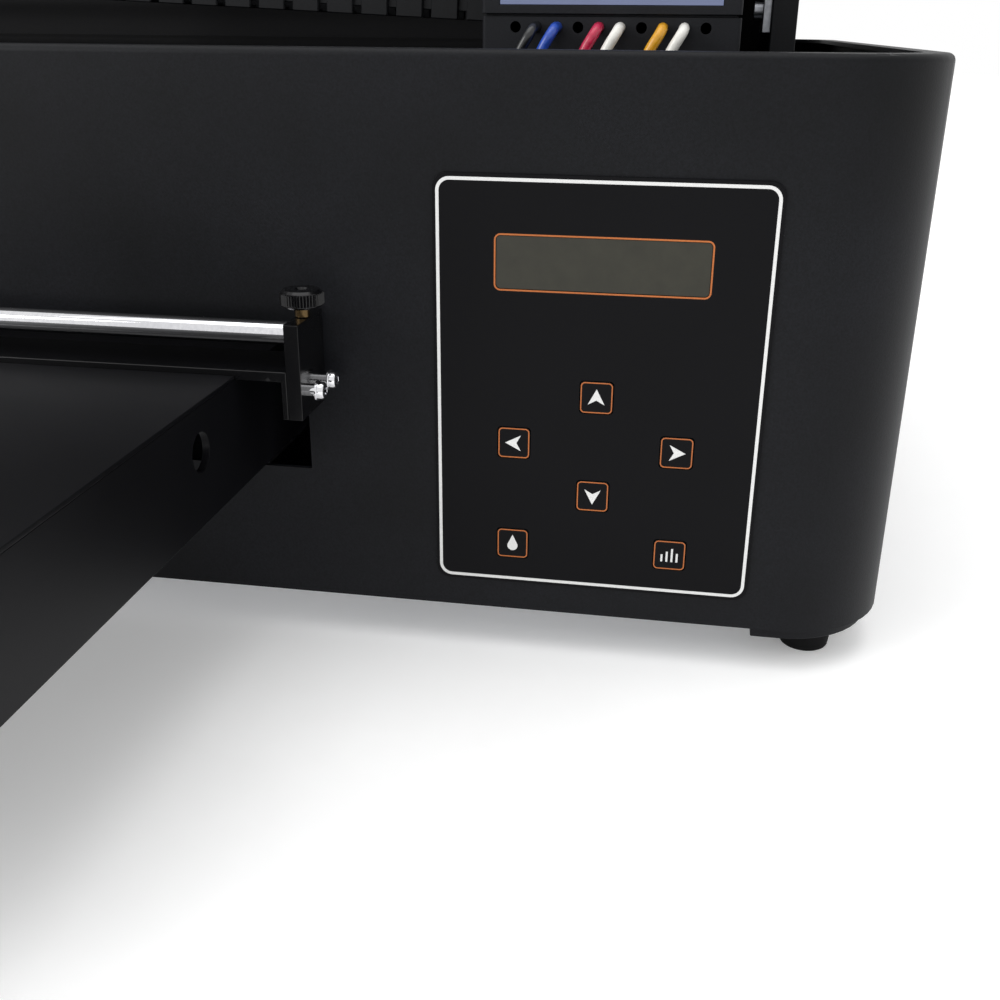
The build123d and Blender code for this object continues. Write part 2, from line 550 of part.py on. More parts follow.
def make_manifold():
    low, high = tube_x(TUBE_SLOTS[0]) - TUBE_LEAN - 5, tube_x(TUBE_SLOTS[-1]) - TUBE_LEAN + 5
    return block(low, high, TUBE_DROP_Y - 6, CAR_Y, MANIFOLD_TOP - MANIFOLD_H, MANIFOLD_TOP)


def make_tube(slot):
    x = tube_x(slot)
    route = FilletPolyline(
        (x, CAR_Y + 6, HOLE_Z),
        (x, TUBE_DROP_Y, HOLE_Z),
        (x - TUBE_LEAN, TUBE_DROP_Y, HOLE_Z - 34),
        (x - TUBE_LEAN, TUBE_DROP_Y, MANIFOLD_TOP),
        radius=[TUBE_BEND, 60],
    )
    return sweep(Plane(origin=route @ 0, z_dir=route % 0) * Circle(TUBE_R), path=route)


save("carriage_cover", make_carriage_cover())
save("display_housing", make_display_housing())
screen_half = SCREEN_W / 2 - 0.2
save("display_screen", block(CAR_X - screen_half, CAR_X + screen_half, CAR_Y - 1, CAR_Y - 1 + SCREEN_T,
                             CAR_SEAM_Z + 3.2, CAR_SEAM_Z + DISPLAY_H - 6.2))
save("carriage_plate", make_carriage_plate())
save("print_head", make_print_head())
save("uv_lamp", make_uv_lamp())
save("ink_manifold", make_manifold())
save("ink_tubes", [make_tube(slot) for slot in TUBE_SLOTS])

# ---- cable chain ------------------------------------------------------------------------------------------
CHAIN_RISE = 2.5  # degrees that the run climbs from the carriage to the bend
RUN_LINKS, CHAIN_LINKS = 12, 36
GUIDE_T, GUIDE_W, GUIDE_WALL = 1.5, 21.0, 6.0
START_HEADING = 180.0 - CHAIN_RISE
RUN_L = RUN_LINKS * LINK_PITCH
BEND_L = math.radians(START_HEADING) * CHAIN_R


def chain_point(distance):
    """Place and heading along the chain: from the carriage to the left, up round the bend and back."""
    rise = math.radians(CHAIN_RISE)
    along = min(distance, RUN_L)
    x, z = CAR_X0 - along * math.cos(rise), CHAIN_Z + along * math.sin(rise)
    if distance <= RUN_L:
        return x, z, START_HEADING
    start = math.radians(START_HEADING)
    heading = max(start - (distance - RUN_L) / CHAIN_R, 0.0)
    x += CHAIN_R * (math.sin(start) - math.sin(heading))
    z += CHAIN_R * (math.cos(heading) - math.cos(start))
    return x + max(distance - RUN_L - BEND_L, 0.0), z, math.degrees(heading)


def make_link():
    """A link along +X: a pocket at its near end and a tongue that enters the next link's pocket."""
    half = LINK_L / 2
    tongue = 2 * (LINK_PITCH - half) - TONGUE_SHORT
    link = Box(LINK_L, LINK_W, LINK_H)
    link -= Pos(POCKET_L / 2 - half - 0.5, 0, 0) * Box(POCKET_L + 1, POCKET_W, LINK_H - 4)
    return link + block(half - 2, tongue, -POCKET_W / 2 + GAP, POCKET_W / 2 - GAP, -2, 2)


def make_links(first, last):
    links = []
    for n in range(first, last):
        x, z, heading = chain_point((n + 0.5) * LINK_PITCH)
        links.append(Pos(x, CHAIN_Y, z) * Rot(0, -heading, 0) * make_link())
    return links


def make_chain_guide():
    """Inverted channel between the gantry plates that carries the upper run."""
    top = chain_point(CHAIN_LINKS * LINK_PITCH)[1] + LINK_H / 2 + GAP
    half = GUIDE_W / 2
    guide = block(-PLATE_X, PLATE_X, CHAIN_Y - half, CHAIN_Y + half, top - GUIDE_WALL, top + GUIDE_T)
    inner = half - GUIDE_T
    return guide - block(-PLATE_X - 1, PLATE_X + 1, CHAIN_Y - inner, CHAIN_Y + inner, top - GUIDE_WALL - 1, top)


save("chain_run", make_links(0, RUN_LINKS))
save("chain_bend", make_links(RUN_LINKS, CHAIN_LINKS))
save("chain_guide", make_chain_guide())

# ---- service parts on the base pan ---------------------------------------------------------------------------
CAP_X, CAP_Y0, CAP_Y1 = CAR_X, CAR_Y + 20.0, CAR_Y + 80.0
TANKS, TANK_W, TANK_PITCH, TANK_H, TANK_D = 6, 23.0, 26.0, 160.0, 46.0
TANK_X = -288.0


def make_capping():
    base = block(CAP_X - 34, CAP_X + 34, CAP_Y0, CAP_Y1, PAN_Z, HEAD_Z - 8)
    return base - block(CAP_X - 12, CAP_X + 12, CAP_Y0 + 12, CAP_Y1 - 12, HEAD_Z - 20, HEAD_Z)


def make_cap_seal():
    seal = block(CAP_X - 18, CAP_X + 18, CAP_Y0 + 6, CAP_Y1 - 6, HEAD_Z - 8, HEAD_Z - 0.5)
    return seal - block(CAP_X - 12, CAP_X + 12, CAP_Y0 + 12, CAP_Y1 - 12, HEAD_Z - 9, HEAD_Z + 1)


def tank_places():
    return [TANK_X + n * TANK_PITCH for n in range(TANKS)]


def make_tanks():
    y0 = FRONT + 12
    return [block(x, x + TANK_W, y0, y0 + TANK_D, PAN_Z, PAN_Z + TANK_H) for x in tank_places()]


def make_tank_caps():
    z, y = PAN_Z + TANK_H, FRONT + 12 + TANK_D / 2
    return [rod_z(z, z + 10, x + TANK_W / 2, y, 9.5) for x in tank_places()]


def make_main_board():
    board = block(140, 255, FRONT + 215, FRONT + 355, PAN_Z + 10, PAN_Z + 11.6)
    for x in (146, 249):
        for y in (FRONT + 221, FRONT + 349):
            board += rod_z(PAN_Z, PAN_Z + 10, x, y, 3)
    board += block(165, 185, FRONT + 250, FRONT + 270, PAN_Z + 11.6, PAN_Z + 14)
    board += block(205, 245, FRONT + 240, FRONT + 250, PAN_Z + 11.6, PAN_Z + 22)
    return board + block(150, 160, FRONT + 290, FRONT + 340, PAN_Z + 11.6, PAN_Z + 20)


save("capping_station", make_capping())
save("cap_seal", make_cap_seal())
save("ink_tanks", make_tanks())
save("tank_caps", make_tank_caps())
save("power_supply", block(-255, -140, FRONT + 210, FRONT + 400, PAN_Z, PAN_Z + 42))
save("main_board", make_main_board())
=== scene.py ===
# %% [markdown]
# # A flatbed UV printer, dressed for the studio
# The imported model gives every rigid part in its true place, in metres, with +Z up and the front towards -Y.
# This file adds what the maker's hands add: broken edges, paint, print, hoses and fasteners. Nothing is moved.

# %% Load the frame
import json
import math

import bmesh
import bpy
from mathutils import Matrix, Vector

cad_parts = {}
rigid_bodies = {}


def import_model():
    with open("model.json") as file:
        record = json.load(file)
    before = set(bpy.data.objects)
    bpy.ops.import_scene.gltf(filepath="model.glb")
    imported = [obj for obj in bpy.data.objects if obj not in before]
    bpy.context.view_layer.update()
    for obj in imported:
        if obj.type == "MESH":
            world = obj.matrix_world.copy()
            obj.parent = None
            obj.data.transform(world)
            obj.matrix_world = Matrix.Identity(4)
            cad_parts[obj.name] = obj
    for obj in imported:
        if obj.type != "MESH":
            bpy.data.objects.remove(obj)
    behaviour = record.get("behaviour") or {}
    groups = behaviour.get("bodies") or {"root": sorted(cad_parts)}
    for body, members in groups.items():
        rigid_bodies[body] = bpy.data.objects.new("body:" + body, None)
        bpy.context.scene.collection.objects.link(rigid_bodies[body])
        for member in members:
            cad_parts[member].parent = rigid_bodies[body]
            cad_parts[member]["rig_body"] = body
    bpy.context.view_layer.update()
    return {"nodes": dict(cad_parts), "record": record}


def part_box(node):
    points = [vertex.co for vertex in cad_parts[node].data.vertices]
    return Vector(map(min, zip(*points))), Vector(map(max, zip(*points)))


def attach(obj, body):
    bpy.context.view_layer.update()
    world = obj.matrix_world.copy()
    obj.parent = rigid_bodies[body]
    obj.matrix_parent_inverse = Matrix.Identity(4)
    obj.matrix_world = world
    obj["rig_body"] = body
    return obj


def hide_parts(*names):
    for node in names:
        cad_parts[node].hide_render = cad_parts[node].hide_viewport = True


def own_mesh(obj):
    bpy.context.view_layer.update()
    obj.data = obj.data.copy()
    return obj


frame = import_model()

nodes = frame["nodes"]
MM = 0.001


# %% [markdown]
# ## Camera
# The keypad corner is seen from close by and a little above, with a short lens. The
# keypad's display is the natural thing to measure from, so the camera's place is counted from its middle.

# %% Camera
CAMERA_FROM_DISPLAY = Vector((29, -377, 73)) * MM
CAMERA_TURN, CAMERA_DOWN, CAMERA_ROLL = (math.radians(a) for a in (9.4, 22.6, 0.5))
LENS_MM = 41.1


def middle(node):
    low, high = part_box(node)
    return (low + high) / 2


camera = bpy.data.objects.new("camera", bpy.data.cameras.new("camera"))
camera.data.lens = LENS_MM
camera.data.clip_start = 0.01
camera.location = middle("lcd_window") + CAMERA_FROM_DISPLAY
looking = Vector((-math.sin(CAMERA_TURN), math.cos(CAMERA_TURN), -math.tan(CAMERA_DOWN)))
turned = looking.to_track_quat("-Z", "Y").to_matrix().to_4x4()
camera.rotation_euler = (turned @ Matrix.Rotation(CAMERA_ROLL, 4, "Z")).to_euler()
bpy.context.scene.collection.objects.link(camera)
bpy.context.scene.camera = camera
print("camera at", tuple(round(v, 3) for v in camera.location))


# %% [markdown]
# ## Colours and shader nodes
# Paint charts give sRGB hex values, but shaders work in linear light, so one function converts. One more
# function adds a shader node with its values and its links, which keeps each finish readable.

# %% Two helpers for shaders
def linear(hex_colour):
    channels = [int(hex_colour[i:i + 2], 16) / 255 for i in (1, 3, 5)]
    return [c / 12.92 if c <= 0.04045 else ((c + 0.055) / 1.055) ** 2.4 for c in channels] + [1.0]


def add(tree, kind, values=None, links=None, **settings):
    node = tree.nodes.new(kind)
    for name, value in settings.items():
        setattr(node, name, value)
    for name, value in (values or {}).items():
        node.inputs[name].default_value = value
    for name, source in (links or {}).items():
        tree.links.new(source, node.inputs[name])
    return node


# %% [markdown]
# ## One recipe for real surfaces
# Almost every finish here is a base colour that varies a little, a roughness that varies a little, and a fine
# relief. The grain's size is given in millimetres. Stretching the grain along an axis turns it into the lines
# that grinding or brushing leaves. Values that are the same all over sit straight on the shader.

# %% The surface recipe
def surface(name, light, dark, rough, grain, relief=0.02, rough_spread=0.06, stretch=(1, 1, 1), **shader):
    material = bpy.data.materials.new(name)
    material.use_nodes = True
    tree = material.node_tree
    tree.nodes.clear()
    place = add(tree, "ShaderNodeTexCoord")
    scaled = add(tree, "ShaderNodeMapping", {"Scale": stretch}, {"Vector": place.outputs["Object"]})
    fine = add(tree, "ShaderNodeTexNoise", {"Scale": 1 / (grain * MM), "Detail": 3.0, "Roughness": 0.6},
               {"Vector": scaled.outputs["Vector"]})
    broad = add(tree, "ShaderNodeTexNoise", {"Scale": 14.0, "Detail": 2.0}, {"Vector": place.outputs["Object"]})
    blend = add(tree, "ShaderNodeMath", None, {0: fine.outputs["Fac"], 1: broad.outputs["Fac"]},
                operation="MULTIPLY")
    colour = add(tree, "ShaderNodeValToRGB", None, {"Fac": blend.outputs["Value"]})
    colour.color_ramp.elements[0].position, colour.color_ramp.elements[1].position = 0.12, 0.42
    colour.color_ramp.elements[0].color, colour.color_ramp.elements[1].color = linear(dark), linear(light)
    spread = add(tree, "ShaderNodeMapRange", {"To Min": rough - rough_spread, "To Max": rough + rough_spread},
                 {"Value": broad.outputs["Fac"]})
    bump = add(tree, "ShaderNodeBump", {"Strength": 0.5, "Distance": relief * MM},
               {"Height": fine.outputs["Fac"]})
    shade = add(tree, "ShaderNodeBsdfPrincipled", {key.replace("_", " "): v for key, v in shader.items()},
                {"Base Color": colour.outputs["Color"], "Roughness": spread.outputs["Result"],
                 "Normal": bump.outputs["Normal"]})
    add(tree, "ShaderNodeOutputMaterial", None, {"Surface": shade.outputs["BSDF"]})
    return material


# %% [markdown]
# ## Painted sheet steel
# The tub and hood are epoxy powder coat over steel: powder melts into a skin of tiny domes, which breaks every
# reflection into a soft sheen. Real domes are about 0.3 mm; they are drawn at 0.7 mm so that they show. The
# bed is smoother stoved enamel, and the clamp is gloss black, which is why its edges flash.

# %% Paint
powder_black = surface("powder_coat_black", "#15161a", "#08090b", 0.47, 0.7, relief=0.08,
                       Specular_IOR_Level=0.14)
bed_black = surface("stoved_enamel_black", "#0c0c0f", "#070709", 0.40, 0.5, relief=0.015,
                    Specular_IOR_Level=0.12)
clamp_black = surface("gloss_anodised_black", "#08080a", "#050506", 0.22, 0.4, relief=0.006,
                      Specular_IOR_Level=0.2, Coat_Weight=0.2)
motor_black = surface("cast_housing_black", "#121214", "#0b0b0d", 0.55, 0.9, relief=0.05,
                      Specular_IOR_Level=0.15)

# %% [markdown]
# ## Bright metal
# Chrome plate on the clamp bar is almost a mirror. Ground steel rods keep fine rings around them, so their
# grain is squeezed along the bed. Zinc is duller and mottled, clear anodised aluminium is silky, brass is warm.

# %% Metal
chrome = surface("chrome_plate", "#e6e6e8", "#d2d2d6", 0.05, 1.5, relief=0.0, rough_spread=0.02, Metallic=1.0)
ground_steel = surface("ground_steel", "#b9babd", "#8f9094", 0.27, 0.5, 0.004, stretch=(1, 6, 1), Metallic=1.0)
zinc_plate = surface("zinc_plate", "#a9abb0", "#7f8288", 0.38, 3.0, relief=0.01, Metallic=1.0)
clear_anodised = surface("anodised_aluminium", "#c4c5c8", "#a4a6aa", 0.36, 0.4, 0.006, Metallic=1.0)
turned_brass = surface("turned_brass", "#5d4c33", "#453824", 0.25, 0.5, 0.004, Metallic=1.0)

# %% [markdown]
# ## Plastics and rubber
# The keypad film is printed polyester with a satin top. ABS covers are moulded in a spark-eroded tool, which
# leaves a fine leather-like grain. The cable chain is nylon, the tanks are milky polyethylene, and the feet and
# seals are dull black rubber. The display window is acrylic: deep, dark and glossy.

# %% Plastic and rubber
panel_film = surface("polyester_film_black", "#09090c", "#050507", 0.43, 0.5, relief=0.012,
                     Specular_IOR_Level=0.1)
cover_grey = surface("moulded_abs_grey", "#202125", "#17181b", 0.48, 0.8, relief=0.06,
                     Specular_IOR_Level=0.16)
chain_nylon = surface("moulded_nylon_black", "#17181b", "#0e0f11", 0.52, 1.2, relief=0.03,
                      Specular_IOR_Level=0.2)
rubber_black = surface("moulded_rubber_black", "#0f0f10", "#09090a", 0.78, 0.9, relief=0.05,
                       Specular_IOR_Level=0.15)
tank_plastic = surface("milky_polyethylene", "#dfe3e6", "#c9ced3", 0.34, 4.0, 0.02, Transmission_Weight=0.35)
display_acrylic = surface("display_acrylic_olive", "#2b2a20", "#232219", 0.12, 6.0, 0.0,
                          Specular_IOR_Level=0.1, Coat_Weight=0.4)
board_green = surface("solder_mask_green", "#1f6a3c", "#124a28", 0.36, 2.5, relief=0.03)
glowing_screen = surface("backlit_screen_lavender", "#5a6282", "#545c7a", 0.18, 9.0, 0.0,
                         Emission_Color=linear("#8c98bd"), Emission_Strength=0.25)

# %% [markdown]
# ## Printing ink on the film
# The white border, white arrows and orange outlines are screen printed. Screen ink stands a few hundredths of a
# millimetre proud and is a touch rough, so the marks are real thin shapes.

# %% Ink and hose colours
white_ink = surface("screen_ink_white", "#dcdcda", "#cecece", 0.5, 0.4, relief=0.01)
orange_ink = surface("screen_ink_orange", "#b86526", "#9c531c", 0.5, 0.4, relief=0.01)
HOSE_COLOURS = (
    ("black", "#17181b", "#0f1012"), ("blue", "#2450b8", "#1b3f97"), ("magenta", "#c4234a", "#a1193a"),
    ("white_left", "#ecebe6", "#dcdad2"), ("yellow", "#e2a51e", "#c98e12"), ("white_right", "#ecebe6", "#dcdad2"),
)
hose_finish = {name: surface("hose_" + name, light, dark, 0.3, 1.5, relief=0.01, Coat_Weight=0.2)
               for name, light, dark in HOSE_COLOURS}

FINISH = {
    "powder_black": powder_black, "bed_black": bed_black, "anodised_black": clamp_black,
    "panel_film": panel_film, "key_film": panel_film, "lcd_glass": display_acrylic,
    "circuit_board": board_green, "chrome": chrome, "bright_steel": ground_steel, "zinc": zinc_plate,
    "aluminium": clear_anodised, "motor_black": motor_black, "rubber_black": rubber_black,
    "cover_grey": cover_grey, "screen": glowing_screen, "chain_nylon": chain_nylon,
    "ink_tube": hose_finish["white_left"], "ink_tank": tank_plastic, "brass": turned_brass,
}
slot_of = {part["node"]: part["material_slot"] for part in frame["record"]["subparts"]}
for name, cad in nodes.items():
    cad.data.materials.clear()
    cad.data.materials.append(FINISH[slot_of[name]])
print("finishes:", len(FINISH))


# %% [markdown]
# ## From solids to pieces with broken edges
# No real edge is perfectly sharp: sheet is deburred, mouldings have a radius, and that thin radius is what
# catches the light. Each visible solid is copied, its loose triangles are merged into clean faces, and a small
# bevel is cut. Weighted normals keep flat faces flat beside the tub's round corners.

# %% Finished copies
def link_piece(name, mesh, body, slot, *stands_for):
    piece = bpy.data.objects.new(name, mesh)
    bpy.context.scene.collection.objects.link(piece)
    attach(piece, body)
    if stands_for:
        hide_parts(*stands_for)
    return piece


def baked(source):
    """The finished mesh of an object, with its modifiers worked in."""
    bpy.context.view_layer.update()
    seen = source.evaluated_get(bpy.context.evaluated_depsgraph_get())
    mesh = bpy.data.meshes.new_from_object(seen)
    bpy.data.objects.remove(source)
    return mesh


def finished(node, edge, steps=2):
    mesh = nodes[node].data.copy()
    work = bmesh.new()
    work.from_mesh(mesh)
    bmesh.ops.remove_doubles(work, verts=work.verts, dist=0.002 * MM)
    bmesh.ops.dissolve_limit(work, angle_limit=math.radians(0.5), verts=work.verts, edges=work.edges)
    work.to_mesh(mesh)
    work.free()
    mesh.shade_smooth()
    rough = bpy.data.objects.new("rough_" + node, mesh)
    bpy.context.scene.collection.objects.link(rough)
    bevel = rough.modifiers.new("edge", "BEVEL")
    bevel.width, bevel.segments, bevel.limit_method = edge * MM, steps, "ANGLE"
    bevel.angle_limit = math.radians(35)
    normals = rough.modifiers.new("normals", "WEIGHTED_NORMAL")
    normals.keep_sharp = False
    return link_piece(node + "_finished", baked(rough), nodes[node]["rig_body"], slot_of[node], node)


EDGES = {
    "casing": 0.35, "hood": 0.4, "gantry_plate_left": 0.6, "gantry_plate_right": 0.6, "bed_tray": 0.6,
    "bed_top_plate": 0.3, "clamp_plate": 0.3, "clamp_bracket_left": 0.35, "clamp_bracket_right": 0.35,
    "panel_overlay": 0.12, "lcd_window": 0.1, "carriage_cover": 0.3, "display_housing": 0.3,
    "display_screen": 0.1, "ink_manifold": 0.6, "uv_lamp": 0.3, "carriage_motor": 0.8, "bed_motor": 0.8,
    "home_stop": 0.3, "gantry_beam": 0.4, "chain_guide": 0.2, "ink_tanks": 1.6, "power_supply": 0.8,
    "capping_station": 0.8, "switch_frame": 0.3, "switch_rocker": 0.3, "mains_inlet": 0.3, "corner_pads": 0.4,
    "feet": 0.3, "clamp_bar": 0.4, "tank_caps": 0.6, "print_head": 0.5, "rail_supports": 0.5,
    "bed_bearings": 0.6, "main_board": 0.15, "drive_pulley": 0.2, "idler_pulley": 0.2,
}
KEYS = ("key_up", "key_left", "key_right", "key_down", "key_clean", "key_test")
EDGES.update({key: 0.25 for key in KEYS})
faces = 0
for node, edge in EDGES.items():
    faces += len(finished(node, edge).data.polygons)
print("finished pieces:", len(EDGES), "faces:", faces)


# %% [markdown]
# ## Print on the keypad
# The border and the outlines are thin rings with rounded corners. Each key carries its own outline and sign, so
# that they go in with it. The lower two keys get plain signs: a drop for cleaning, bars for a test print.

# %% Rings and signs
INK_T = 0.06
CORNER_STEPS = 8


def rounded_loop(width, height, radius):
    points = []
    for corner in range(4):
        sx, sz = ((1, 1), (-1, 1), (-1, -1), (1, -1))[corner]
        for step in range(CORNER_STEPS + 1):
            angle = math.pi / 2 * (corner + step / CORNER_STEPS)
            points.append((sx * (width / 2 - radius) + radius * math.cos(angle),
                           sz * (height / 2 - radius) + radius * math.sin(angle)))
    return points


def printed(name, outlines, centre, material, body, slot):
    """Thin closed shapes on a front face. An outline is a loop of points, or a pair of loops for a ring."""
    work = bmesh.new()
    for outline in outlines:
        loops = outline if isinstance(outline[0], list) else [outline]
        rows = []
        for depth in (0.0, -INK_T):
            rows.append([[work.verts.new((centre.x + x * MM, centre.y + depth * MM, centre.z + z * MM))
                          for x, z in loop] for loop in loops])
        count = len(loops[0])
        for row in rows:
            if len(loops) == 2:
                for i in range(count):
                    j = (i + 1) % count
                    work.faces.new((row[0][i], row[0][j], row[1][j], row[1][i]))
            else:
                work.faces.new(row[0])
        for loop in range(len(loops)):
            for i in range(count):
                j = (i + 1) % count
                work.faces.new((rows[0][loop][i], rows[0][loop][j], rows[1][loop][j], rows[1][loop][i]))
    bmesh.ops.recalc_face_normals(work, faces=work.faces)
    mesh = bpy.data.meshes.new(name)
    work.to_mesh(mesh)
    work.free()
    mesh.materials.append(material)
    return link_piece(name, mesh, body, slot)


def ring(width, height, radius, line):
    return [rounded_loop(width, height, radius), rounded_loop(width - 2 * line, height - 2 * line, radius - line)]


def front_of(node):
    place = middle(node)
    place.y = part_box(node)[0].y
    return place


BORDER, BORDER_R, BORDER_LINE = (111.6, 144.6), 4.6, 1.1
DISPLAY_LINE = 0.55
film = front_of("panel_overlay")
printed("panel_border", [ring(*BORDER, BORDER_R, BORDER_LINE)], film, white_ink, "chassis", "panel_film")
window = front_of("lcd_window")
window.y = film.y
printed("display_outline", [ring(72.2, 19.0, 2.2, DISPLAY_LINE)], window, orange_ink, "chassis", "panel_film")

ARROW = [(0, 3.1), (-2.9, -2.5), (0, -0.9), (2.9, -2.5)]


def turned_arrow(quarter):
    angle = math.pi / 2 * quarter
    return [(x * math.cos(angle) - z * math.sin(angle), x * math.sin(angle) + z * math.cos(angle))
            for x, z in ARROW]


def drop():
    loop = [(0, 3.4)]
    for step in range(13):
        angle = math.radians(35 - 250 * step / 12)
        loop.append((1.9 * math.cos(angle), -0.9 + 1.9 * math.sin(angle)))
    return loop


bars = [[(x - 0.35, -2.6), (x + 0.35, -2.6), (x + 0.35, top), (x - 0.35, top)]
        for x, top in ((-2.7, 0.2), (-0.9, 1.4), (0.9, 2.6), (2.7, 0.8))]
SIGNS = {"key_up": [turned_arrow(0)], "key_left": [turned_arrow(1)], "key_down": [turned_arrow(2)],
         "key_right": [turned_arrow(3)], "key_clean": [drop()], "key_test": bars}
for key, shapes in SIGNS.items():
    face = front_of(key)
    printed(key + "_outline", [ring(11.0, 11.0, 1.5, 0.4)], face, orange_ink, key, "key_film")
    printed(key + "_sign", shapes, face, white_ink, key, "key_film")
print("keys printed:", len(SIGNS))


# %% [markdown]
# ## One Geometry Nodes tree for what repeats
# Bolts, knurls and chain links are the same model set down many times. Points carry a turn, the tree puts the
# model on each point, makes the copies real and gives them their material. One tree serves them all.

# %% The repeating tree
def repeating_tree():
    tree = bpy.data.node_groups.new("repeat_model", "GeometryNodeTree")
    for name, kind in (("Points", "NodeSocketGeometry"), ("Model", "NodeSocketObject"),
                       ("Finish", "NodeSocketMaterial"), ("Size", "NodeSocketFloat")):
        tree.interface.new_socket(name, in_out="INPUT", socket_type=kind)
    tree.interface.new_socket("Geometry", in_out="OUTPUT", socket_type="NodeSocketGeometry")
    given = add(tree, "NodeGroupInput")
    model = add(tree, "GeometryNodeObjectInfo", None, {"Object": given.outputs["Model"]})
    turn = add(tree, "GeometryNodeInputNamedAttribute", {"Name": "turn"}, data_type="FLOAT_VECTOR")
    copies = add(tree, "GeometryNodeInstanceOnPoints", None, {
        "Points": given.outputs["Points"], "Instance": model.outputs["Geometry"],
        "Rotation": turn.outputs["Attribute"], "Scale": given.outputs["Size"]})
    real = add(tree, "GeometryNodeRealizeInstances", None, {"Geometry": copies.outputs["Instances"]})
    painted = add(tree, "GeometryNodeSetMaterial", None, {
        "Geometry": real.outputs["Geometry"], "Material": given.outputs["Finish"]})
    add(tree, "NodeGroupOutput", None, {"Geometry": painted.outputs["Geometry"]})
    return tree


REPEAT = repeating_tree()
SOCKET = {item.name: item.identifier for item in REPEAT.interface.items_tree if item.in_out == "INPUT"}


def repeat(name, model_mesh, places, finish, body, slot, *stands_for, size=1.0):
    """places is a list of (point, turn), with the turn as Euler angles."""
    points = bpy.data.meshes.new(name)
    points.from_pydata([tuple(p) for p, _ in places], [], [])
    turns = points.attributes.new("turn", "FLOAT_VECTOR", "POINT")
    for i, (_, turn) in enumerate(places):
        turns.data[i].vector = turn
    model = bpy.data.objects.new(name + "_model", model_mesh)
    source = bpy.data.objects.new(name + "_points", points)
    bpy.context.scene.collection.objects.link(model)
    bpy.context.scene.collection.objects.link(source)
    modifier = source.modifiers.new("repeat", "NODES")
    modifier.node_group = REPEAT
    modifier[SOCKET["Model"]], modifier[SOCKET["Finish"]], modifier[SOCKET["Size"]] = model, finish, size
    mesh = baked(source)
    bpy.data.objects.remove(model)
    return link_piece(name, mesh, body, slot, *stands_for)


# %% [markdown]
# ## Turned models
# Screw heads and knobs come off a lathe, so one function turns a list of rings into a closed shape. A ring may
# be a hexagon instead of a circle, which gives a socket head its key recess.

# %% The lathe
LATHE_STEPS = 36


def lathe(name, rings):
    """rings: (radius, height, is_hexagon) in millimetres, from the foot to the last ring, closed at both ends."""
    work = bmesh.new()
    rows = []
    for radius, height, hexagon in rings:
        row = []
        for step in range(LATHE_STEPS):
            angle = 2 * math.pi * step / LATHE_STEPS
            reach = radius
            if hexagon:
                reach = radius * math.cos(math.pi / 6) / math.cos(angle % (math.pi / 3) - math.pi / 6)
            row.append(work.verts.new((reach * math.cos(angle) * MM, reach * math.sin(angle) * MM, height * MM)))
        rows.append(row)
    for low, high in zip(rows, rows[1:]):
        for i in range(LATHE_STEPS):
            j = (i + 1) % LATHE_STEPS
            work.faces.new((low[i], low[j], high[j], high[i]))
    work.faces.new(rows[0])
    work.faces.new(rows[-1])
    bmesh.ops.recalc_face_normals(work, faces=work.faces)
    mesh = bpy.data.meshes.new(name)
    work.to_mesh(mesh)
    work.free()
    mesh.shade_smooth()
    mesh.set_sharp_from_angle(angle=math.radians(32))
    return mesh


def socket_head(radius, height, recess):
    edge = radius * 0.12
    return lathe("socket_head", [
        (radius, 0, False), (radius, height - edge, False), (radius - edge * 0.3, height - edge * 0.3, False),
        (radius - edge, height, False), (recess * 1.12, height, True), (recess, height - edge * 0.5, True),
        (recess, height * 0.45, True)])


# %% [markdown]
# ## Fasteners
# Two chrome cap screws with spacers and washers hold each clamp bracket, and four bolts on each side hold the
# beam. They stand exactly where the model puts theirs: a head's place is read from the frame, and its turn
# points outwards.

# %% Screws and bolts
def side_places(node, rows_y, rows_z):
    """Places on both outer sides of a node, at its ends in X, with heads pointing outwards."""
    low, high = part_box(node)
    places = []
    for x, sign in ((low.x, -1), (high.x, 1)):
        for y in rows_y:
            for z in rows_z:
                places.append(((x, y, z), (0, sign * math.pi / 2, 0)))
    return places


HEAD_R, HEAD_L, WASHER_T = 3.0, 2.4, 0.6
SPACER_R, SPACER_L = 2.2, 3.4
low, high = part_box("clamp_screws")
screw_rows = (low.y + (HEAD_R + 0.6) * MM, high.y - (HEAD_R + 0.6) * MM)
screw_z = (low.z + high.z) / 2
inset = (HEAD_L + WASHER_T + SPACER_L) * MM
screw_places = [((x - math.copysign(inset, x), y, z), turn)
                for (x, y, z), turn in side_places("clamp_screws", screw_rows, (screw_z,))]
washer_and_head = lathe("pan_screw", [(SPACER_R, 0, False), (SPACER_R, SPACER_L, False)] + [
    (radius, SPACER_L + height, hexagon) for radius, height, hexagon in (
        (HEAD_R + 0.6, 0, False), (HEAD_R + 0.6, WASHER_T - 0.15, False), (HEAD_R + 0.45, WASHER_T, False),
        (HEAD_R, WASHER_T, False), (HEAD_R, 2.1, False), (HEAD_R - 0.35, 2.7, False), (HEAD_R - 1.0, 3.0, False),
        (1.6, 3.0, True), (1.5, 2.9, True), (1.5, 1.8, True))])
repeat("clamp_screw_heads", washer_and_head, screw_places, chrome, "bed", "chrome", "clamp_screws")

BOLT_R, BOLT_L = 4.2, 5.0
low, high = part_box("beam_bolts")
bolt_places = [((x - math.copysign(BOLT_L * MM, x), y, z), turn) for (x, y, z), turn in side_places(
    "beam_bolts", (low.y + BOLT_R * MM, high.y - BOLT_R * MM), (low.z + BOLT_R * MM, high.z - BOLT_R * MM))]
repeat("beam_bolt_heads", socket_head(BOLT_R, BOLT_L, 2.4), bolt_places, ground_steel, "chassis",
       "bright_steel", "beam_bolts")
print("screws:", len(screw_places), "bolts:", len(bolt_places))


